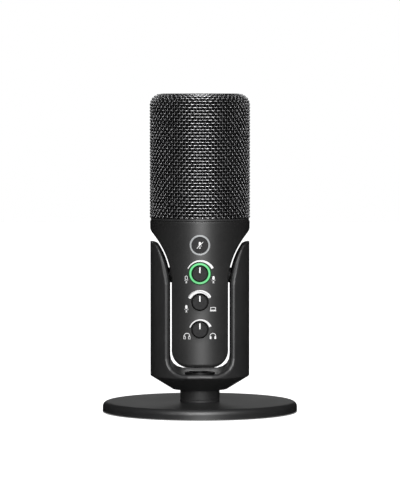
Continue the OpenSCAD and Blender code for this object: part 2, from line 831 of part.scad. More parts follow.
module chassis_screws() {
    color("#8d8f92") at_pivot() {
        chassis_screw_places() translate([0, 0, plate_top]) pan_screw(plate_t + stud_len);
        mount_screw_places() translate([0, 0, plate_top + cradle_foot_t])
            pan_screw(plate_t + cradle_foot_t);
    }
}

// ---- inside --------------------------------------------------------------------------------

module control_board() {
    color("#1d5a3a") at_pivot() difference() {
        block([-board_x, control_y, board_z0], [board_x, control_y + board_t, control_z1]);
        for (x = [-spacer_x, spacer_x], z = spacer_zs) translate([x, 0, z])
            ycyl(spacer_stud_r + fit, control_y - over, control_y + board_t + over);
    }
}

module main_board() {
    color("#1d5a3a") at_pivot() difference() {
        block([-board_x, main_y, board_z0], [board_x, main_y + board_t, main_z1]);
        for (x = [-spacer_x, spacer_x], z = spacer_zs) translate([x, 0, z])
            ycyl(spacer_stud_r + fit, main_y - over, main_y + board_t + over);
    }
}

module board_spacers() {
    color("#c8a24a") at_pivot() for (x = [-spacer_x, spacer_x], z = spacer_zs)
        translate([x, 0, z]) difference() {
            union() {
                ycyl(spacer_r, control_y + board_t, main_y);
                ycyl(spacer_stud_r, control_y - stud_len, control_y + board_t + join);
            }
            ycyl(spacer_stud_r + fit, main_y - stud_hole, main_y + over);
        }
}

module board_screws() {
    color("#8d8f92") at_pivot() for (x = [-spacer_x, spacer_x], z = spacer_zs)
        translate([x, main_y + board_t, z]) rotate([-90, 0, 0]) pan_screw(board_t + stud_len);
}

module usb_socket() {
    y0 = main_y + board_t;
    color("#c3c5c8") at_pivot() translate([usb_x, 0, socket_z]) {
        difference() {
            front_extrude(y0, socket_y1) round_rect(usb_w / 2, -usb_h / 2, usb_h / 2, usb_corner_r);
            front_extrude(socket_y1 - usb_len, socket_y1 + over)
                round_rect(usb_w / 2 - usb_shell, -usb_h / 2 + usb_shell, usb_h / 2 - usb_shell,
                    usb_mouth_r);
        }
        block([-usb_tongue_w / 2, socket_y1 - usb_len - join, -usb_tongue_t / 2],
            [usb_tongue_w / 2, socket_y1 - usb_tongue_in, usb_tongue_t / 2]);
    }
}

module headphone_jack() {
    y0 = main_y + board_t;
    body_y1 = socket_y1 - jack_barrel_len;
    color("#202022") at_pivot() translate([jack_x, 0, socket_z]) difference() {
        union() {
            block([-jack_w / 2, y0, -jack_w / 2], [jack_w / 2, body_y1 - jack_shoulder, jack_w / 2]);
            ycyl(jack_barrel_r, body_y1 - jack_shoulder - join, socket_y1);
        }
        ycyl(jack_bore_d / 2, socket_y1 - jack_depth, socket_y1 + over);
    }
}

// potentiometer on the control board; its bushing reaches the panel
module pot(z) {
    at_pivot() translate([0, 0, z]) difference() {
        union() {
            block([-pot_w / 2, pot_y0, -pot_w / 2], [pot_w / 2, control_y, pot_w / 2]);
            ycyl(bushing_r, panel_y, pot_y0 + join);
        }
        ycyl(shaft_r + fit, panel_y - over, shaft_y1 + gap);
    }
}

module gain_pot() {
    color("#54565a") pot(gain_up);
}

module mix_pot() {
    color("#54565a") pot(mix_up);
}

module phones_pot() {
    color("#54565a") pot(phones_up);
}

module mute_switch() {
    color("#2f3135") at_pivot() translate([0, 0, mute_up]) difference() {
        block([-switch_w / 2, switch_y0, -switch_w / 2], [switch_w / 2, control_y, switch_w / 2]);
        ycyl(plunger_r + fit, switch_y0 - over, switch_y0 + plunger_in + mute_travel + gap);
    }
}

// ring set flush into the curved front
module light_ring(z, r0, r1) {
    at_pivot() difference() {
        intersection() {
            translate([0, 0, z]) ycyl(r1, -body_r - over, ring_y1);
            translate([0, 0, z - 2 * r1]) cylinder(h = 4 * r1, r = body_r);
        }
        translate([0, 0, z]) ycyl(r0, -body_r - 2 * over, ring_y1 + over);
    }
}

module mute_light_ring() {
    color("#cfd2d4") light_ring(mute_up, mute_r + face_gap, mute_ring_d / 2);
}

module gain_light_ring() {
    color("#55e08a") light_ring(gain_up, gain_ring_in / 2, gain_ring_out / 2);
}

// ---- head ----------------------------------------------------------------------------------

module grille_frame() {
    color("#1c1c1e") at_pivot() difference() {
        union() {
            translate([0, 0, plate_top]) cylinder(h = frame_z1 - plate_top, r = bowl_r - fit);
            translate([0, 0, neck_h + frame_gap]) cylinder(h = frame_t, r = frame_r1);
        }
        translate([0, 0, plate_top - over])
            cylinder(h = frame_z1 - plate_top + 2 * over, r = frame_r0);
    }
}

// one upright wire: straight, then a quarter turn over the corner
module upright_wire() {
    translate([wire_R, 0, frame_z1])
        cylinder(h = corner_z - frame_z1, r = wire_r, $fn = wire_sides);
    translate([wire_R - wire_corner_r, 0, corner_z]) rotate([90, 0, 0])
        rotate_extrude(angle = 90) translate([wire_corner_r, 0])
            circle(r = wire_r, $fn = wire_sides);
}

module grille_wires() {
    color("#3a3a3c") at_pivot() for (i = [0 : wire_count - 1])
        rotate([0, 0, (i + 0.5) * 360 / wire_count]) upright_wire();
}

module hoop(r, z) {
    rotate_extrude() translate([r, z]) circle(r = wire_r, $fn = wire_sides);
}

module grille_hoops() {
    rows = floor((corner_z - frame_z1 - wire_r) / hoop_pitch);
    bends = floor(hoop_corner_r * PI / 2 / hoop_pitch);
    color("#48484b") at_pivot() {
        for (i = [0 : rows]) hoop(hoop_R, corner_z - i * hoop_pitch);
        for (i = [1 : bends]) hoop(body_r - head_corner_r + hoop_corner_r * cos(i * 90 / (bends + 0.5)),
            corner_z + hoop_corner_r * sin(i * 90 / (bends + 0.5)));
    }
}

module grille_top() {
    half = floor(top_disc_r / top_pitch - 0.5);
    z_upper = head_z1 - wire_r;
    z_lower = z_upper - wire_d - layer_gap;
    color("#48484b") at_pivot() for (i = [-half : half]) {
        reach = disc_half(top_disc_r, abs(i) * top_pitch + wire_r);
        translate([0, i * top_pitch, z_upper]) xcyl(wire_r, -reach, reach);
        translate([i * top_pitch, 0, z_lower]) ycyl(wire_r, -reach, reach);
    }
}

module grille_top_ring() {
    color("#3a3a3c") at_pivot() rotate_extrude()
        translate([top_ring_R, head_z1 - top_ring_r]) circle(r = top_ring_r);
}

module foam_liner() {
    z0 = frame_z1;
    color("#141415") at_pivot() rotate_extrude() difference() {
        union() {
            translate([0, z0]) square([foam_r, foam_top - foam_corner_r - z0]);
            translate([0, z0]) square([foam_r - foam_corner_r, foam_top - z0]);
            translate([foam_r - foam_corner_r, foam_top - foam_corner_r]) circle(r = foam_corner_r);
        }
        translate([-over, z0 - over])
            square([foam_r - foam_t + over, foam_top - foam_t - z0 + over]);
    }
}

module capsule_mount() {
    ring_r = capsule_r + isolator_t + cradle_t;
    color("#3c3e42") at_pivot() difference() {
        union() {
            translate([0, 0, plate_top]) cylinder(h = cradle_foot_t, r = cradle_foot_r);
            translate([0, 0, plate_top])
                cylinder(h = capsule_z - plate_top - capsule_r, r = cradle_stem_r);
            translate([0, 0, capsule_z]) ycyl(ring_r, -cradle_w / 2, cradle_w / 2);
        }
        translate([0, 0, capsule_z]) ycyl(ring_r - cradle_t, -cradle_w, cradle_w);
        mount_screw_places() translate([0, 0, plate_top - over])
            cylinder(h = cradle_foot_t + 2 * over, r = spacer_stud_r + fit);
    }
}

module capsule_isolator() {
    color("#101011") at_pivot() translate([0, 0, capsule_z]) difference() {
        ycyl(capsule_r + isolator_t - fit, -cradle_w / 2, cradle_w / 2);
        ycyl(capsule_r + fit, -cradle_w, cradle_w);
    }
}

module capsule() {
    color("#c9b06a") at_pivot() translate([0, 0, capsule_z]) ycyl(capsule_r, -capsule_t / 2, capsule_t / 2);
}

// ---- controls ------------------------------------------------------------------------------

module mute_button() {
    color("#333335") at_pivot() translate([0, 0, mute_up]) {
        ycyl(mute_r, mute_y0, mute_y1);
        ycyl(stem_r, mute_y1 - join, stem_y1);
    }
}

module mute_plunger() {
    color("#8d8f92") at_pivot() translate([0, 0, mute_up])
        ycyl(plunger_r, stem_y1, switch_y0 + plunger_in);
}

module knob(z) {
    at_pivot() translate([0, 0, z]) difference() {
        union() {
            ycyl(knob_r, knob_y0 + knob_edge, knob_y1);
            translate([0, knob_y0 + knob_edge, 0]) rotate([90, 0, 0])
                cylinder(h = knob_edge, r1 = knob_r, r2 = knob_r - knob_edge);
        }
        ycyl(shaft_r + fit, knob_y0 + knob_skin, knob_y1 + over);
        pointer_solid(pointer_fit);
    }
}

// white mark let into the knob's face, from near the centre to the rim
module pointer_solid(grow = 0) {
    block([-pointer_w / 2 - grow, knob_y0 - grow, knob_r - pointer_rim - pointer_len - grow],
        [pointer_w / 2 + grow, knob_y0 + pointer_t + grow, knob_r - pointer_rim + grow]);
}

module shaft(z) {
    at_pivot() translate([0, 0, z]) ycyl(shaft_r, knob_y0 + knob_skin + face_gap, shaft_y1);
}

module pointer(z) {
    at_pivot() translate([0, 0, z]) pointer_solid();
}

module gain_knob() {
    color("#303032") knob(gain_up);
}

module gain_shaft() {
    color("#a9abae") shaft(gain_up);
}

module gain_pointer() {
    color("#f0f0f0") pointer(gain_up);
}

module mix_knob() {
    color("#303032") knob(mix_up);
}

module mix_shaft() {
    color("#a9abae") shaft(mix_up);
}

module mix_pointer() {
    color("#f0f0f0") pointer(mix_up);
}

module phones_knob() {
    color("#303032") knob(phones_up);
}

module phones_shaft() {
    color("#a9abae") shaft(phones_up);
}

module phones_pointer() {
    color("#f0f0f0") pointer(phones_up);
}

base_plate();
base_foot();
base_bolt();
post_ring();
post();
yoke();
thread_insert();
pivot_screws();
spring_washers();
friction_washers();
pivot_caps();
housing();
pivot_bushes();
rear_cover();
cover_screws();
chassis_plate();
chassis_screws();
control_board();
main_board();
board_spacers();
board_screws();
usb_socket();
headphone_jack();
gain_pot();
mix_pot();
phones_pot();
mute_switch();
mute_light_ring();
gain_light_ring();
grille_frame();
grille_wires();
grille_hoops();
grille_top();
grille_top_ring();
foam_liner();
capsule_mount();
capsule_isolator();
capsule();
mute_button();
mute_plunger();
gain_knob();
gain_shaft();
gain_pointer();
mix_knob();
mix_shaft();
mix_pointer();
phones_knob();
phones_shaft();
phones_pointer();
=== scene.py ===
import json
import math

import bpy
import numpy as np
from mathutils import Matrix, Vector


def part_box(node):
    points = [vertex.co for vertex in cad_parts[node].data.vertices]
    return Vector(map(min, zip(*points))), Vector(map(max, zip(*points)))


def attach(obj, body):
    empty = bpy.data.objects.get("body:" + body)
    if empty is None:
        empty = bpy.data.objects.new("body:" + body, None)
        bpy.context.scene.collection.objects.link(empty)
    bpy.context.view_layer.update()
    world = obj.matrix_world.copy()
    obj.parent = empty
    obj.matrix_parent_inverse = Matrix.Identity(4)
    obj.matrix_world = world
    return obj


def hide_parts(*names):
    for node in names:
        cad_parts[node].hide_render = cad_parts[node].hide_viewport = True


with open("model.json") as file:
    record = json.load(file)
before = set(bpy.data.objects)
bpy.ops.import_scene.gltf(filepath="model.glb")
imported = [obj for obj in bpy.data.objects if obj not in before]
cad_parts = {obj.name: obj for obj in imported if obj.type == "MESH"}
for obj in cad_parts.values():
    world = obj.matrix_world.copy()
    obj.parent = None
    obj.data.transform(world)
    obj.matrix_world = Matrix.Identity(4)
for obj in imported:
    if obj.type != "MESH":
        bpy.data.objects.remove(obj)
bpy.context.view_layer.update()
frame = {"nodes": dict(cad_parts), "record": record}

# The object and the camera are given in millimetres and turned into metres by MM; the studio is in metres.
MM = 0.001

# ---- places on the microphone, as in part.scad ---------------------------------------------------
PIVOT_Z = 82.8                         # tilt axis
BODY_R = 30.0                          # head and collar
NECK_Z = PIVOT_Z + 33.2                # top of the housing
FRAME_Z1 = NECK_Z + 1.4                # top of the ring that holds the mesh
HEAD_Z1 = NECK_Z + 76.1                # top of the head
CORNER_R = 7.0                         # round shoulder of the head
CORNER_Z = HEAD_Z1 - CORNER_R
MUTE_Z = PIVOT_Z + 19.3
GAIN_Z = PIVOT_Z + 2.4
MIX_Z = PIVOT_Z - 14.6
PHONES_Z = PIVOT_Z - 30.9
GAP_R0, GAP_R1 = 4.3, 5.26             # gap round a knob, from just inside the knob's edge; painted shade goes there, and painted green glow at the gain knob
GAIN_RING_R0, GAIN_RING_R1 = 5.0, 6.4  # ring light round the gain knob
RING_PAINTED_GLOW_R0, RING_PAINTED_GLOW_R1 = 6.38, 6.9  # painted green glow of the ring light on the body round that ring, from just inside its edge

# ---- camera --------------------------------------------------------------------------------------
CAM_X = 0.06
CAM_DIST = 1928.0                      # in front of the object's axis
CAM_H = 187.3                          # above the floor
CAM_PITCH = math.radians(2.656)        # looks down by this angle
FOCAL_PX = 3201.0                      # focal length in pixels of the photograph
PHOTO_H_PX = 500
SENSOR_MM = 36.0                       # taken along the photograph's height, its longer side
CLIP_END_M = 20.0


def make_camera():
    data = bpy.data.cameras.new("camera")
    data.sensor_width = SENSOR_MM
    data.lens = FOCAL_PX / PHOTO_H_PX * SENSOR_MM
    data.clip_end = CLIP_END_M
    cam = bpy.data.objects.new("camera", data)
    bpy.context.scene.collection.objects.link(cam)
    cam.location = (CAM_X * MM, -CAM_DIST * MM, CAM_H * MM)
    cam.rotation_euler = (math.radians(90) - CAM_PITCH, 0, 0)
    bpy.context.scene.camera = cam


# ---- material tools ------------------------------------------------------------------------------
ROUGH_SPREAD = 0.04                    # how far the roughness strays to each side
CLOUD_STOPS = (0.3, 0.7)               # stretch of the noise that runs from the dark to the light tone
LENS_ROUGH = 0.35                      # translucent plastic over a light
LENS_CLOUDS = 250


def new_material(name):
    mat = bpy.data.materials.new(name)
    mat.use_nodes = True
    tree = mat.node_tree
    return mat, tree, tree.nodes["Principled BSDF"]


def node(tree, kind, **values):
    """New node; each value goes to its setting of that name, or else to its input of that name."""
    n = tree.nodes.new(kind)
    for key, value in values.items():
        if hasattr(n, key):
            setattr(n, key, value)
        else:
            n.inputs[key.replace("_", " ")].default_value = value
    return n


def grain_material(name, dark, light, rough, tone_scale=40, grain_scale=1800, bump=0.25, bump_distance=0.02,
                   metallic=0.0, specular=0.2):
    """Two close tones in soft clouds, a fine grain in the bump and a little spread in the roughness."""
    mat, tree, shader = new_material(name)
    shader.inputs["Metallic"].default_value = metallic
    shader.inputs["Specular IOR Level"].default_value = specular
    place = node(tree, "ShaderNodeTexCoord")
    clouds = node(tree, "ShaderNodeTexNoise", Scale=tone_scale, Detail=3.0, Roughness=0.6)
    ramp = node(tree, "ShaderNodeValToRGB")
    for stop, position, tone in zip(ramp.color_ramp.elements, CLOUD_STOPS, (dark, light)):
        stop.position = position
        stop.color = (*tone, 1)
    spread = node(tree, "ShaderNodeMapRange")
    spread.inputs["To Min"].default_value = rough - ROUGH_SPREAD
    spread.inputs["To Max"].default_value = rough + ROUGH_SPREAD
    grain = node(tree, "ShaderNodeTexNoise", Scale=grain_scale, Detail=2.0, Roughness=0.5)
    relief = node(tree, "ShaderNodeBump", Strength=bump, Distance=bump_distance * MM)
    link = tree.links.new
    for texture in (clouds, grain):
        link(place.outputs["Object"], texture.inputs["Vector"])
    link(clouds.outputs["Fac"], ramp.inputs["Fac"])
    link(ramp.outputs["Color"], shader.inputs["Base Color"])
    link(clouds.outputs["Fac"], spread.inputs["Value"])
    link(spread.outputs["Result"], shader.inputs["Roughness"])
    link(grain.outputs["Fac"], relief.inputs["Height"])
    link(relief.outputs["Normal"], shader.inputs["Normal"])
    return mat


def light_material(name, colour, glow, strength, dimmest=0.92):
    """Translucent ring over a light: its own colour and a nearly even glow."""
    mat, tree, shader = new_material(name)
    shader.inputs["Roughness"].default_value = LENS_ROUGH
    shader.inputs["Emission Strength"].default_value = strength
    place = node(tree, "ShaderNodeTexCoord")
    clouds = node(tree, "ShaderNodeTexNoise", Scale=LENS_CLOUDS, Detail=2.0)
    for socket, tone in (("Base Color", colour), ("Emission Color", glow)):
        ramp = node(tree, "ShaderNodeValToRGB")
        ramp.color_ramp.elements[0].color = (*[c * dimmest for c in tone], 1)
        ramp.color_ramp.elements[1].color = (*tone, 1)
        tree.links.new(clouds.outputs["Fac"], ramp.inputs["Fac"])
        tree.links.new(ramp.outputs["Color"], shader.inputs[socket])
    tree.links.new(place.outputs["Object"], clouds.inputs["Vector"])
    return mat


def distance_to(tree, place, z):
    """Distance in metres from the front-to-back axis at height z, and the place along that axis."""
    split = node(tree, "ShaderNodeSeparateXYZ")
    flat = node(tree, "ShaderNodeCombineXYZ")
    far = node(tree, "ShaderNodeVectorMath", operation="DISTANCE")
    far.inputs[1].default_value = (0, 0, z * MM)
    tree.links.new(place.outputs["Object"], split.inputs["Vector"])
    for axis in ("X", "Z"):
        tree.links.new(split.outputs[axis], flat.inputs[axis])
    tree.links.new(flat.outputs[0], far.inputs[0])
    return far.outputs["Value"], split.outputs["Y"]


def ring_light_material(name):
    """Green ring over a light, bright along its middle and deep green at both rims."""
    bright_stretch = (0.22, 0.74)      # from the inner rim to the outer one
    mat, tree, shader = new_material(name)
    shader.inputs["Roughness"].default_value = LENS_ROUGH
    shader.inputs["Emission Strength"].default_value = 1.0
    place = node(tree, "ShaderNodeTexCoord")
    far, _ = distance_to(tree, place, GAIN_Z)
    share = node(tree, "ShaderNodeMapRange")
    share.inputs["From Min"].default_value = GAIN_RING_R0 * MM
    share.inputs["From Max"].default_value = GAIN_RING_R1 * MM
    tree.links.new(far, share.inputs["Value"])
    for socket, rim, middle in (("Base Color", (0.005, 0.06, 0.015), (0.06, 0.3, 0.11)),
                                ("Emission Color", (0.002, 0.06, 0.012), (0.12, 0.55, 0.2))):
        ramp = node(tree, "ShaderNodeValToRGB")
        stops = ramp.color_ramp.elements
        stops[0].color, stops[1].color = (*rim, 1), (*rim, 1)
        for position in bright_stretch:
            stops.new(position).color = (*middle, 1)
        tree.links.new(share.outputs["Result"], ramp.inputs["Fac"])
        tree.links.new(ramp.outputs["Color"], shader.inputs[socket])
    return mat


def socket_of(sockets, identifier):
    """A Mix node has a set of sockets for each kind of data, told apart by their identifiers alone."""
    return next(s for s in sockets if s.identifier == identifier)


def mix_in(tree, mask, target, value, data_type, suffix):
    """Puts a value over what feeds the target socket, where the mask is 1."""
    old = target.links[0].from_socket
    mix = node(tree, "ShaderNodeMix", data_type=data_type)
    socket_of(mix.inputs, "B_" + suffix).default_value = value
    tree.links.new(mask, socket_of(mix.inputs, "Factor_Float"))
    tree.links.new(old, socket_of(mix.inputs, "A_" + suffix))
    tree.links.new(socket_of(mix.outputs, "Result_" + suffix), target)


def paint_gap_shade_and_glow(mat, tone, gaps):
    """Paints shade, or a light's glow, in narrow rings on the body's front; a gap is (height, inner radius,
    outer radius).
    """
    tree = mat.node_tree
    shader = tree.nodes["Principled BSDF"]
    place = node(tree, "ShaderNodeTexCoord")
    total = None
    for z, r0, r1 in gaps:
        far, y = distance_to(tree, place, z)
        band = node(tree, "ShaderNodeMath", operation="COMPARE")
        band.inputs[1].default_value = (r0 + r1) / 2 * MM
        band.inputs[2].default_value = (r1 - r0) / 2 * MM
        tree.links.new(far, band.inputs[0])
        if total is None:
            front = node(tree, "ShaderNodeMath", operation="LESS_THAN")
            front.inputs[1].default_value = 0.0
            tree.links.new(y, front.inputs[0])
            total = band.outputs[0]
        else:
            either = node(tree, "ShaderNodeMath", operation="MAXIMUM")
            tree.links.new(total, either.inputs[0])
            tree.links.new(band.outputs[0], either.inputs[1])
            total = either.outputs[0]
    mask = node(tree, "ShaderNodeMath", operation="MULTIPLY")
    tree.links.new(total, mask.inputs[0])
    tree.links.new(front.outputs[0], mask.inputs[1])
    mix_in(tree, mask.outputs[0], shader.inputs["Base Color"], (*tone, 1), "RGBA", "Color")
    mix_in(tree, mask.outputs[0], shader.inputs["Roughness"], 1.0, "FLOAT", "Float")


# ---- materials -----------------------------------------------------------------------------------
PAINT_GRAIN = dict(bump=0.35, bump_distance=0.012, grain_scale=3200)
BARE_METAL = dict(metallic=1.0, bump_distance=0.004, grain_scale=4000)
WIRE_METAL = dict(metallic=1.0, bump=0.2, bump_distance=0.006, grain_scale=5200, tone_scale=300)


def make_materials():
    """A material for each slot of the record, those that FINISH names, and a lighter, painted-highlight one
    for the round wires.
    """
    housing = grain_material("housing_paint", (0.013, 0.013, 0.0133), (0.016, 0.0158, 0.0155), 0.44,
                             specular=1.0, **PAINT_GRAIN)
    # painted shade: near black with full roughness in the gaps round the mix and phones knobs
    paint_gap_shade_and_glow(housing, (0.0015, 0.0015, 0.0015), [(z, GAP_R0, GAP_R1) for z in (MIX_Z, PHONES_Z)])
    # painted light: green glow of the gain ring light, in the gap round its knob and on the body round the
    # ring
    paint_gap_shade_and_glow(housing, (0.001, 0.034, 0.006),
               [(GAIN_Z, GAP_R0, GAIN_RING_R0), (GAIN_Z, RING_PAINTED_GLOW_R0, RING_PAINTED_GLOW_R1)])
    return {
        "housing_black": housing,
        "yoke_black": grain_material("yoke_paint", (0.021, 0.021, 0.0215), (0.025, 0.025, 0.0255), 0.44,
                                     specular=1.0, **PAINT_GRAIN),
        "post_black": grain_material("post_paint", (0.019, 0.019, 0.0195), (0.023, 0.023, 0.0235), 0.62,
                                     specular=0.95, **PAINT_GRAIN),
        "dark_steel": grain_material("dark_steel", (0.05, 0.05, 0.052), (0.08, 0.08, 0.083), 0.42,
                                     **BARE_METAL),
        "base_black": grain_material("base_paint", (0.015, 0.015, 0.0155), (0.019, 0.019, 0.0195), 0.42,
                                     specular=1.0, bump=0.3, bump_distance=0.01, grain_scale=3200),
        # painted highlight: the round wires get a lighter copy of the wire metal, so the rows of the weave
        # show bright
        "grille_round_highlit": grain_material("round_wire_highlit", (0.41, 0.41, 0.417), (0.53, 0.53, 0.537), 0.32,
                                       **WIRE_METAL),
        "grille_wire": grain_material("wire_paint", (0.23, 0.23, 0.234), (0.31, 0.31, 0.315), 0.32,
                                      **WIRE_METAL),
        "rubber": grain_material("rubber", (0.014, 0.014, 0.014), (0.02, 0.02, 0.02), 0.75,
                                 bump=0.4, bump_distance=0.02),
        "foam": grain_material("foam", (0.0035, 0.0035, 0.0037), (0.008, 0.008, 0.0085), 0.95,
                               tone_scale=700, grain_scale=1500, bump=1.0, bump_distance=0.25, specular=0.1),
        "steel": grain_material("steel", (0.5, 0.51, 0.53), (0.6, 0.6, 0.62), 0.3, **BARE_METAL),
        "brass": grain_material("brass", (0.62, 0.42, 0.18), (0.74, 0.53, 0.25), 0.28, **BARE_METAL),
        "dark_plastic": grain_material("dark_plastic", (0.022, 0.022, 0.023), (0.03, 0.03, 0.031), 0.5,
                                       bump=0.5, bump_distance=0.02),
        "control_black": grain_material("control_plastic", (0.019, 0.019, 0.0195), (0.03, 0.03, 0.0305), 0.46,
                                        tone_scale=500, grain_scale=2600, bump=0.5, bump_distance=0.03,
                                        specular=0.15),
        "board_green": grain_material("solder_mask", (0.012, 0.08, 0.04), (0.02, 0.12, 0.06), 0.35,
                                      bump=0.3, bump_distance=0.02),
        "light_grey": light_material("mute_light", (0.34, 0.35, 0.355), (0.5, 0.52, 0.53), 0.12),
        "light_green": ring_light_material("gain_light"),
        "white_mark": grain_material("white_print", (0.82, 0.82, 0.82), (0.9, 0.9, 0.9), 0.55,
                                     bump=0.1, bump_distance=0.01),
    }


def paint(obj, mat):
    if not obj.material_slots:
        obj.data.materials.append(mat)
    for s in obj.material_slots:
        s.material = mat


# ---- mesh building -------------------------------------------------------------------------------
TUBE_SIDES = 8


def make_mesh(name, verts, faces, mat, smooth=True):
    mesh = bpy.data.meshes.new(name)
    mesh.from_pydata([tuple(v) for v in np.asarray(verts, float) * MM], [], [tuple(f) for f in faces])
    if smooth:
        mesh.polygons.foreach_set("use_smooth", [True] * len(mesh.polygons))
    mesh.update()
    obj = bpy.data.objects.new(name, mesh)
    bpy.context.scene.collection.objects.link(obj)
    paint(obj, mat)
    return obj


class Tubes:
    """Collects round wires and makes one mesh of them."""

    def __init__(self):
        self.verts, self.faces, self.count = [], [], 0

    def add(self, path, side_a, side_b, radius, closed=False):
        """Wire along a path; side_a and side_b are unit vectors across it at each point."""
        n, k = len(path), TUBE_SIDES
        angle = np.arange(k)[None, :, None] * 2 * math.pi / k
        ring = np.cos(angle) * side_a[:, None, :] + np.sin(angle) * side_b[:, None, :]
        self.verts.append((path[:, None, :] + radius * ring).reshape(-1, 3))
        i = np.arange(n if closed else n - 1)[:, None]
        j = np.arange(k)[None, :]
        here = self.count + i * k
        there = self.count + ((i + 1) % n) * k
        beside = (j + 1) % k
        self.faces.append(np.stack([here + j, here + beside, there + beside, there + j], -1).reshape(-1, 4))
        if not closed:
            self.faces.append(self.count + np.arange(k)[None, ::-1])
            self.faces.append(self.count + (n - 1) * k + np.arange(k)[None, :])
        self.count += n * k

    def build(self, name, mat):
        verts = np.concatenate(self.verts)
        faces = [f for block in self.faces for f in block.tolist()]
        return make_mesh(name, verts, faces, mat)


# ---- woven head ----------------------------------------------------------------------------------
WIRE_R = 0.36                          # round wires and top wires
UPRIGHT_R = 0.27
UPRIGHT_SWING = 0.5                    # how far an upright wire swings to each side of the weave's middle
ROUND_SWING = 0.13                     # and a round wire, which is nearly straight
TOP_SWING = 0.34                       # and a wire of the flat top
COLUMNS = 106                          # upright wires
ROW_PITCH = 1.87                       # from one round wire to the next
FIRST_ROW = 0.75                       # from the collar's ring to the first round wire
STEPS_PER_ROW = 5                      # along an upright or top wire
STEPS_PER_COLUMN = 4                   # along a round wire
SEAM_R = 22.26                         # seam ring round the flat top
SEAM_WIRE_R = 0.74
TUCK = 0.3                             # from the seam ring's outer edge in to the ends of the uprights
TOP_TUCK = 0.25                        # from its inner edge out to the ends of the top wires
PROUD = 0.26                           # the uprights' crimps stand this far outside the body radius
ARC_R = CORNER_R - UPRIGHT_SWING - UPRIGHT_R
ARC_CENTRE = BODY_R - CORNER_R + PROUD
STRAIGHT = CORNER_Z - FRAME_Z1         # upright stretch of the weave, then a quarter round, then inwards
QUARTER = ARC_R * math.pi / 2
WEAVE_LENGTH = STRAIGHT + QUARTER + (ARC_CENTRE - SEAM_R - SEAM_WIRE_R) + TUCK


def profile(s):
    """Radius and height of the weave's middle, s along it from the collar up, and its outward normal."""
    s = np.asarray(s, float)
    angle = np.clip((s - STRAIGHT) / QUARTER, 0, 1) * math.pi / 2
    inward = np.clip(s - STRAIGHT - QUARTER, 0, None)
    radius = ARC_CENTRE + ARC_R * np.cos(angle) - inward
    height = FRAME_Z1 + np.clip(s, None, STRAIGHT) + ARC_R * np.sin(angle)
    return radius, height, np.cos(angle), np.sin(angle)


def upright_wires():
    """Wires from the collar over the shoulder to the seam ring, in a back and a front half."""
    halves = Tubes(), Tubes()
    s = np.linspace(0, WEAVE_LENGTH, int(WEAVE_LENGTH / ROW_PITCH * STEPS_PER_ROW) + 1)
    radius, height, nr, nz = profile(s)
    for i in range(COLUMNS):
        theta = 2 * math.pi * (i + 0.5) / COLUMNS
        c, t = math.cos(theta), math.sin(theta)
        swing = -UPRIGHT_SWING * (-1) ** i * np.cos(math.pi * (s - FIRST_ROW) / ROW_PITCH)
        r, z = radius + swing * nr, height + swing * nz
        path = np.stack([r * c, r * t, z], -1)
        normal = np.stack([nr * c, nr * t, nz], -1)
        side = np.tile([-t, c, 0.0], (len(s), 1))
        halves[i * 2 // COLUMNS].add(path, normal, side, UPRIGHT_R)
    return halves


def round_wires():
    """Closed wires round the head, over one upright and under the next, in a low and a high half."""
    halves = Tubes(), Tubes()
    rows = int((WEAVE_LENGTH - FIRST_ROW) / ROW_PITCH) + 1
    steps = COLUMNS * STEPS_PER_COLUMN
    theta = 2 * math.pi * np.arange(steps) / steps
    c, t = np.cos(theta), np.sin(theta)
    for j in range(rows):
        radius, height, nr, nz = (float(v) for v in profile(FIRST_ROW + j * ROW_PITCH))
        swing = ROUND_SWING * (-1) ** j * np.cos(COLUMNS / 2 * theta - math.pi / 2)
        r, z = radius + swing * nr, height + swing * nz
        path = np.stack([r * c, r * t, z], -1)
        normal = np.stack([nr * c, nr * t, np.full(steps, nz)], -1)
        side = np.stack([-nz * c, -nz * t, np.full(steps, nr)], -1)
        halves[j * 2 // rows].add(path, normal, side, WIRE_R, closed=True)
    return halves


def top_wires():
    """Flat plain weave inside the seam ring."""
    tubes = Tubes()
    reach = SEAM_R - SEAM_WIRE_R + TOP_TUCK
    half = int(reach / ROW_PITCH)
    mid = HEAD_Z1 - TOP_SWING - WIRE_R
    for i in range(-half, half + 1):
        length = math.sqrt(reach ** 2 - (i * ROW_PITCH) ** 2)
        u = np.linspace(-length, length, int(2 * length / ROW_PITCH * STEPS_PER_ROW))
        place = np.full(len(u), i * ROW_PITCH)
        up = np.tile([0, 0, 1.0], (len(u), 1))
        for across, (x, y), side in ((0, (u, place), [0, 1.0, 0]), (1, (place, u), [-1.0, 0, 0])):
            swing = TOP_SWING * (-1) ** (i + across) * np.cos(math.pi * u / ROW_PITCH)
            path = np.stack([x, y, mid + swing], -1)
            tubes.add(path, np.tile(side, (len(u), 1)), up, WIRE_R)
    return tubes


def woven_head(mat, highlit_round_mat):
    """Plain weave over the head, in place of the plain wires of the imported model."""
    back, front = upright_wires()
    low, high = round_wires()
    for name, tubes, finish, stands_for in (
            ("mesh_upright_wires_back", back, mat, "grille_wires"),
            ("mesh_upright_wires_front", front, mat, "grille_wires"),
            # round wires in the lighter copy of the wire metal, a painted highlight
            ("mesh_round_wires_low", low, highlit_round_mat, "grille_hoops"),
            ("mesh_round_wires_high", high, highlit_round_mat, "grille_hoops"),
            ("mesh_top_wires", top_wires(), mat, "grille_top")):
        piece = tubes.build(name, finish)
        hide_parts(stands_for)
        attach(piece, "microphone")


# ---- foam sleeve ---------------------------------------------------------------------------------
FOAM_R = 28.2
FOAM_THICK = 4.0
FOAM_TOP = HEAD_Z1 - 1.9
FOAM_CORNER_R = 5.4
FOAM_ROUGH = 0.12                      # the open cells lie up to this far below the face
FOAM_SEED = 7
FOAM_STEPS = 180                       # round the sleeve
WALL_STEPS, CORNER_STEPS, TOP_STEPS, CEILING_STEPS = 30, 8, 10, 6


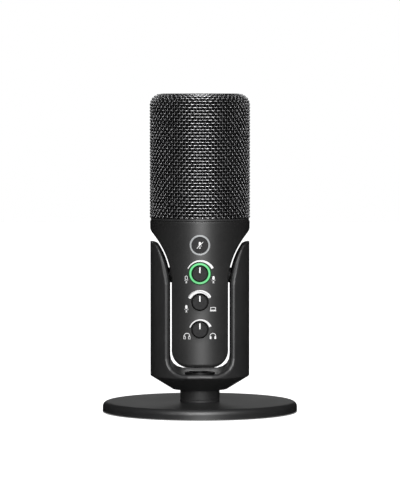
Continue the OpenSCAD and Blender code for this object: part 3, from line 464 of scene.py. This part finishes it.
def foam_outside():
    """(radius, height) from the inner edge of the foot, up the outer wall and inwards over the top."""
    corner_r, corner_z = FOAM_R - FOAM_CORNER_R, FOAM_TOP - FOAM_CORNER_R
    rings = [(FOAM_R - FOAM_THICK, FRAME_Z1), (FOAM_R, FRAME_Z1)]
    rings += [(FOAM_R, FRAME_Z1 + (corner_z - FRAME_Z1) * k / WALL_STEPS) for k in range(1, WALL_STEPS + 1)]
    rings += [(corner_r + FOAM_CORNER_R * math.cos(a), corner_z + FOAM_CORNER_R * math.sin(a))
              for a in (math.pi / 2 * k / CORNER_STEPS for k in range(1, CORNER_STEPS + 1))]
    rings += [(corner_r * (1 - k / TOP_STEPS), FOAM_TOP) for k in range(1, TOP_STEPS)]
    return rings


def foam_ceiling():
    """(radius, height) from the inner wall inwards under the top."""
    return [((FOAM_R - FOAM_THICK) * k / CEILING_STEPS, FOAM_TOP - FOAM_THICK)
            for k in range(CEILING_STEPS, 0, -1)]


def foam_liner(mat):
    """Hollow foam sleeve with a closed top and an open-celled, slightly uneven face."""
    outside, ceiling = foam_outside(), foam_ceiling()
    even_rings = 2                     # the foot, which stands on the ring of the mesh
    rng = np.random.default_rng(FOAM_SEED)
    angle = 2 * math.pi * np.arange(FOAM_STEPS) / FOAM_STEPS
    verts = []
    for index, (r, z) in enumerate(outside + ceiling):
        rough = FOAM_ROUGH if even_rings <= index < len(outside) else 0.0
        uneven = r + rng.uniform(-rough, 0, FOAM_STEPS)
        verts.append(np.stack([uneven * np.cos(angle), uneven * np.sin(angle), np.full(FOAM_STEPS, z)], -1))
    verts.append(np.array([[0, 0, FOAM_TOP], [0, 0, FOAM_TOP - FOAM_THICK]]))

    wall = len(outside) * FOAM_STEPS                   # first point of the ceiling's outer ring
    top = wall - FOAM_STEPS                            # of the smallest ring of the top
    under = wall + (len(ceiling) - 1) * FOAM_STEPS     # and of the smallest ring of the ceiling
    tip = under + FOAM_STEPS                           # middle of the top; that of the ceiling comes next
    around = [(k, (k + 1) % FOAM_STEPS) for k in range(FOAM_STEPS)]
    faces = []
    for start in (*range(0, top, FOAM_STEPS), *range(wall, under, FOAM_STEPS)):
        after = start + FOAM_STEPS
        faces += [(start + k, start + n, after + n, after + k) for k, n in around]
    for k, n in around:
        faces.append((top + k, top + n, tip))
        faces.append((under + n, under + k, tip + 1))
        faces.append((k, n, wall + n, wall + k))
    foam = make_mesh("foam_sleeve", np.concatenate(verts), faces, mat)
    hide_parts("foam_liner")
    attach(foam, "microphone")


# ---- printed marks -------------------------------------------------------------------------------
PRINT_LIFT = 0.03
LINE_STEP = 0.4                        # a printed line bends to the round body in steps of this length
SCALE_DROP = 0.59                      # a scale's centre lies this far below its knob's axis
MIX_SCALE_DROP = 0.47
SCALE_R = 5.87                         # inner edge of the lower two scales


class Print:
    """Flat shapes in millimetres round a point of the front, on the round body or on a flat face."""

    def __init__(self, x, z, face=None, lift=PRINT_LIFT):
        self.x, self.z = x, z
        self.face, self.lift = face, lift
        self.verts, self.faces = [], []

    def point(self, x, z):
        x, z = self.x + x, self.z + z
        r = BODY_R + self.lift
        y = -math.sqrt(r * r - x * x) if self.face is None else self.face - self.lift
        self.verts.append((x, y, z))
        return len(self.verts) - 1

    def area(self, points):
        self.faces.append([self.point(*p) for p in points])

    def arc(self, r0, r1, a0, a1, steps=48):
        """Band between two radii, from angle a0 to a1 in degrees clockwise from 12 o'clock.
        A radius is a number, or a function of the share of the band's length."""
        rows = []
        for k in range(steps + 1):
            f = k / steps
            a = math.radians(a0 + (a1 - a0) * f)
            radii = [r(f) if callable(r) else r for r in (r0, r1)]
            rows.append([self.point(math.sin(a) * r, math.cos(a) * r) for r in radii])
        for (a, b), (c, d) in zip(rows, rows[1:]):
            self.faces.append([a, c, d, b])

    def line(self, x0, z0, x1, z1, width):
        length = math.hypot(x1 - x0, z1 - z0)
        nx, nz = -(z1 - z0) / length * width / 2, (x1 - x0) / length * width / 2
        steps = max(1, round(length / LINE_STEP))
        along = [(x0 + (x1 - x0) * k / steps, z0 + (z1 - z0) * k / steps) for k in range(steps + 1)]
        for (ax, az), (bx, bz) in zip(along, along[1:]):
            self.area([(ax + nx, az + nz), (ax - nx, az - nz), (bx - nx, bz - nz), (bx + nx, bz + nz)])

    def outline(self, points, width):
        for (x0, z0), (x1, z1) in zip(points, points[1:] + points[:1]):
            self.line(x0, z0, x1, z1, width)

    def build(self, name, mat, body="microphone"):
        piece = make_mesh(name, self.verts, self.faces, mat, smooth=False)
        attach(piece, body)


def capsule_points(w, z0, z1, steps=6):
    """Outline of an upright capsule of half width w between two heights."""
    upper = [math.pi * k / steps for k in range(steps + 1)]
    lower = [math.pi + a for a in upper]
    points = [(w * math.cos(a), z1 - w + w * math.sin(a)) for a in upper]
    points += [(w * math.cos(a), z0 + w + w * math.sin(a)) for a in lower]
    return points


def mic_icon(p, filled, size=1.0):
    """Capsule in a cradle, on a stem with a foot."""
    line = 0.26 * size
    capsule = capsule_points(0.68 * size, -0.2 * size, 2.1 * size)
    if filled:
        p.area(capsule)
    else:
        p.outline(capsule, line)
    p.arc(0.96 * size, 1.13 * size, 95, 265, 16)
    stem_top, stem_foot, stem_width = -1.1 * size, -1.9 * size, 0.32 * size
    p.line(0, stem_top, 0, stem_foot, stem_width)
    foot_half, foot_z = 0.6 * size, -1.97 * size
    p.line(-foot_half, foot_z, foot_half, foot_z, line)


def headphone_icon(p, filled):
    """Headband with a cup at each end."""
    line = 0.24
    cup_in, cup_out, foot, top = 0.9, 1.9, -1.7, -0.1
    p.arc(1.5, 1.85, -95, 95, 20)
    for side in (-1, 1):
        cup = [(side * cup_in, foot), (side * cup_out, foot), (side * cup_out, top), (side * cup_in, top)]
        if filled:
            p.area(cup)
        else:
            p.outline(cup, line)


def laptop_icon(p):
    """Screen over a keyboard seen edge on."""
    half, foot, top, line = 1.45, -0.4, 1.15, 0.32
    p.outline([(-half, foot), (half, foot), (half, top), (-half, top)], line)
    keys_half, keys_z, keys_width = 1.85, -0.9, 0.5
    p.line(-keys_half, keys_z, keys_half, keys_z, keys_width)


def round_end(f, share):
    """Share of its full width that a band with round ends has, f along it; share is an end's length."""
    return math.sqrt(max(0.0, 1 - max(0.0, 1 - min(f, 1 - f) / share) ** 2))


def gain_scale(mat):
    """Band that widens evenly, clockwise."""
    inner, outer, growth = 7.65, 8.09, 1.04
    scale = Print(0, GAIN_Z - SCALE_DROP)
    scale.arc(inner, lambda f: outer + growth * f, -64, 64)
    scale.build("gain_scale", mat)


def mix_scale(mat):
    """Band with round ends, parted by a fine line that swings from its outer edge towards its middle."""
    outer = 7.7
    middle = (SCALE_R + outer) / 2
    half_line = 0.1
    end_share = 0.045
    parting_r, parting_fall = 7.4, 0.76
    fall_start, fall_share = 0.3, 0.4

    def parting(f):
        t = min(1.0, max(0.0, (f - fall_start) / fall_share))
        return parting_r - parting_fall * t * t * (3 - 2 * t)

    def rounded(r, f):
        return middle + (r - middle) * round_end(f, end_share)

    scale = Print(0, MIX_Z - MIX_SCALE_DROP)
    scale.arc(lambda f: rounded(SCALE_R, f), lambda f: rounded(parting(f) - half_line, f), -68, 64)
    scale.arc(lambda f: rounded(parting(f) + half_line, f), lambda f: rounded(outer, f), -68, 64)
    scale.build("mix_scale", mat)


def phones_scale(mat):
    """Band that widens faster and faster, clockwise."""
    outer, growth, spurt = 6.42, 0.3, 0.6
    scale = Print(0, PHONES_Z - SCALE_DROP)
    scale.arc(SCALE_R, lambda f: outer + growth * f + spurt * f * f, -73, 70)
    scale.build("phones_scale", mat)


def knob_icons(mat):
    """Signs to the left and right of the knobs."""
    for name, x, z, draw, filled in (
            ("gain_low_icon", -8.06, GAIN_Z - 3.5, mic_icon, False),
            ("gain_high_icon", 8.06, GAIN_Z - 3.6, mic_icon, True),
            ("mix_mic_icon", -8.06, MIX_Z - 3.9, mic_icon, True),
            ("phones_low_icon", -7.71, PHONES_Z - 3.95, headphone_icon, False),
            ("phones_high_icon", 7.74, PHONES_Z - 3.95, headphone_icon, True)):
        icon = Print(x, z)
        draw(icon, filled)
        icon.build(name, mat)
    laptop = Print(7.83, MIX_Z - 4.3)
    laptop_icon(laptop)
    laptop.build("mix_laptop_icon", mat)


def mute_sign(mat, dark):
    """Crossed-out microphone on the button: the sign, a dark gap over it, and the slash over both."""
    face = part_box("mute_button")[0][1] / MM
    sign = Print(0, MUTE_Z, face)
    mic_icon(sign, True, 0.96)
    sign.build("mute_icon", mat, "mute")
    gap = Print(0, MUTE_Z, face, 1.5 * PRINT_LIFT)
    gap.line(-1.5, -2.08, 2.1, 1.68, 0.26)
    gap.build("mute_icon_gap", dark, "mute")
    slash = Print(0, MUTE_Z, face, 2 * PRINT_LIFT)
    slash.line(-1.85, -2.0, 1.85, 1.9, 0.34)
    slash.build("mute_icon_slash", mat, "mute")


def make_prints(mat, dark):
    gain_scale(mat)
    mix_scale(mat)
    phones_scale(mat)
    knob_icons(mat)
    mute_sign(mat, dark)


# ---- studio, in metres ---------------------------------------------------------------------------
WORLD_LIGHT = 0.35                     # strength of the world where it lights the object
FLOOR_HALF = 3.0
FLOOR_TONE = 0.9
FLOOR_ROUGH = 0.8
FLOOR_LIFT = 0.85                      # added where the floor is seen directly, so that it shows white
# The cards on the right, seen from above, from behind the object to beside the camera's view.
SIDE_PLAN = ((0.12, 0.4), (0.6, 0.4), (0.8, -0.4), (0.8, -1.6), (0.45, -2.2))
SIDE_TOP = 2.0
REAR_HALF, REAR_Y, REAR_TOP = 0.12, 0.42, 0.16     # low card behind, which the top of the base mirrors
REAR_GLOW = 0.42
BACK_HALF, BACK_Y, BACK_TOP = 0.2, 0.44, 2.2       # black card above it
LEVEL_HALF = 0.9                       # half width of the cards on the floor and overhead
LEVEL_BACK = 0.5                       # how far back they reach
LEVEL_FRONT, LEVEL_Z = -2.2, 0.001     # front edge and height of the one on the floor
OVERHEAD_FRONT, OVERHEAD_GLOW = -1.1, 0.3


def area_light(name, place, aim, size, size_y, power):
    data = bpy.data.lights.new(name, "AREA")
    data.shape = "RECTANGLE"
    data.size, data.size_y, data.energy = size, size_y, power
    lamp = bpy.data.objects.new(name, data)
    bpy.context.scene.collection.objects.link(lamp)
    lamp.location = place
    lamp.rotation_euler = (Vector(aim) - Vector(place)).to_track_quat("-Z", "Y").to_euler()
    return lamp


def light_only(lamp, objects):
    """Keeps a lamp off everything but these objects, as a flag does in a studio."""
    group = bpy.data.collections.new(lamp.name + "_objects")
    for obj in objects:
        group.objects.link(obj)
    lamp.light_linking.receiver_collection = group


def direct_ray(tree):
    """1 for camera, mirror and glass rays, 0 for the rays that light the object."""
    path = node(tree, "ShaderNodeLightPath")
    found = path.outputs["Is Camera Ray"]
    for name in ("Is Glossy Ray", "Is Transmission Ray"):
        either = node(tree, "ShaderNodeMath", operation="MAXIMUM")
        tree.links.new(found, either.inputs[0])
        tree.links.new(path.outputs[name], either.inputs[1])
        found = either.outputs[0]
    return found


def make_world():
    """Plain white where it is seen, weaker where it lights the object."""
    world = bpy.data.worlds.new("studio")
    bpy.context.scene.world = world
    world.use_nodes = True
    tree = world.node_tree
    tree.nodes.clear()
    base = node(tree, "ShaderNodeBackground", Strength=WORLD_LIGHT)
    base.inputs["Color"].default_value = (1, 1, 1, 1)
    white = node(tree, "ShaderNodeBackground", Strength=1.0)
    white.inputs["Color"].default_value = (1, 1, 1, 1)
    mix = node(tree, "ShaderNodeMixShader")
    out = node(tree, "ShaderNodeOutputWorld")
    tree.links.new(direct_ray(tree), mix.inputs["Fac"])
    tree.links.new(base.outputs[0], mix.inputs[1])
    tree.links.new(white.outputs[0], mix.inputs[2])
    tree.links.new(mix.outputs[0], out.inputs["Surface"])


def stage_plane(name, corners, mat):
    mesh = bpy.data.meshes.new(name)
    mesh.from_pydata(corners, [], [(0, 1, 2, 3)])
    obj = bpy.data.objects.new(name, mesh)
    bpy.context.scene.collection.objects.link(obj)
    obj.data.materials.append(mat)
    return obj


def level(half, y0, y1, z):
    """Corners of a level rectangle that reaches as far to the left as to the right."""
    return [(-half, y0, z), (half, y0, z), (half, y1, z), (-half, y1, z)]


def make_floor():
    """Pale floor that keeps the object's shadow and shows white round it."""
    mat, tree, shader = new_material("floor_white")
    shader.inputs["Base Color"].default_value = (FLOOR_TONE, FLOOR_TONE, FLOOR_TONE, 1)
    shader.inputs["Roughness"].default_value = FLOOR_ROUGH
    glow = node(tree, "ShaderNodeEmission")
    lift = node(tree, "ShaderNodeMath", operation="MULTIPLY")
    lift.inputs[1].default_value = FLOOR_LIFT
    both = node(tree, "ShaderNodeAddShader")
    tree.links.new(direct_ray(tree), lift.inputs[0])
    tree.links.new(lift.outputs[0], glow.inputs["Strength"])
    tree.links.new(shader.outputs[0], both.inputs[0])
    tree.links.new(glow.outputs[0], both.inputs[1])
    tree.links.new(both.outputs[0], tree.nodes["Material Output"].inputs["Surface"])
    stage_plane("floor", level(FLOOR_HALF, -FLOOR_HALF, FLOOR_HALF, 0), mat)


def card(name, corners, glow=0.0):
    """Flag beside the set that shows in the paint's reflections only; black, or grey with some glow."""
    mat, tree, shader = new_material(name)
    tone = node(tree, "ShaderNodeEmission", Strength=1.0)
    tone.inputs["Color"].default_value = (glow, glow, glow, 1)
    tree.links.new(tone.outputs[0], tree.nodes["Material Output"].inputs["Surface"])
    tree.nodes.remove(shader)
    obj = stage_plane(name, corners, mat)
    obj.visible_camera = False
    obj.visible_diffuse = False
    obj.visible_transmission = False
    obj.visible_shadow = False


def wall(name, plan, z0, z1, glow=0.0):
    """Row of upright cards along a line in the plan."""
    for k, ((x0, y0), (x1, y1)) in enumerate(zip(plan, plan[1:])):
        card(f"{name}_{k}", [(x0, y0, z0), (x1, y1, z0), (x1, y1, z1), (x0, y0, z1)], glow)


def make_cards():
    for name, side in (("card_left", -1), ("card_right", 1)):
        wall(name, [(side * x, y) for x, y in SIDE_PLAN], 0.0, SIDE_TOP)
    wall("card_rear", [(-REAR_HALF, REAR_Y), (REAR_HALF, REAR_Y)], 0.0, REAR_TOP, REAR_GLOW)
    wall("card_back", [(-BACK_HALF, BACK_Y), (BACK_HALF, BACK_Y)], REAR_TOP, BACK_TOP)
    card("card_floor", level(LEVEL_HALF, LEVEL_FRONT, LEVEL_BACK, LEVEL_Z))
    card("card_top", level(LEVEL_HALF, OVERHEAD_FRONT, LEVEL_BACK, BACK_TOP), OVERHEAD_GLOW)


def make_lamps(rear_lit):
    """Two lamps in front, and one behind that lights only the objects given."""
    middle = (0, 0, 0.1)
    area_light("front_strip", place=(0.15, -2.3, 0.55), aim=(0.14, 0, 0.55), size=0.4, size_y=0.9, power=19)
    area_light("high_box", place=(0.1, -1.9, 1.65), aim=middle, size=1.8, size_y=0.7, power=35)
    rear = area_light("rear_box", place=(-0.1, 2.1, 1.5), aim=middle, size=0.8, size_y=0.9, power=22)
    light_only(rear, rear_lit)


def make_studio():
    """Comes after the pieces: the rear lamp lights all of them but the base plate, whose top would glare."""
    base_plate = frame["nodes"]["base_plate"]
    rear_lit = [obj for obj in bpy.context.scene.objects if obj.type == "MESH" and obj != base_plate]
    make_world()
    make_floor()
    make_cards()
    make_lamps(rear_lit)


# ---- put together --------------------------------------------------------------------------------
# Nodes that have another finish than their slot in the record.
FINISH = {"post": "post_black", "post_ring": "post_black", "grille_top_ring": "post_black",
          "thread_insert": "dark_steel", "base_bolt": "dark_steel"}


def main():
    make_camera()
    mats = make_materials()
    slots = {row["node"]: row["material_slot"] for row in frame["record"]["subparts"]}
    for name, obj in frame["nodes"].items():
        paint(obj, mats[FINISH.get(name, slots[name])])
    woven_head(mats["grille_wire"], mats["grille_round_highlit"])
    foam_liner(mats["foam"])
    make_prints(mats["white_mark"], mats["control_black"])
    make_studio()
    bpy.context.scene.view_settings.view_transform = "Standard"


main()
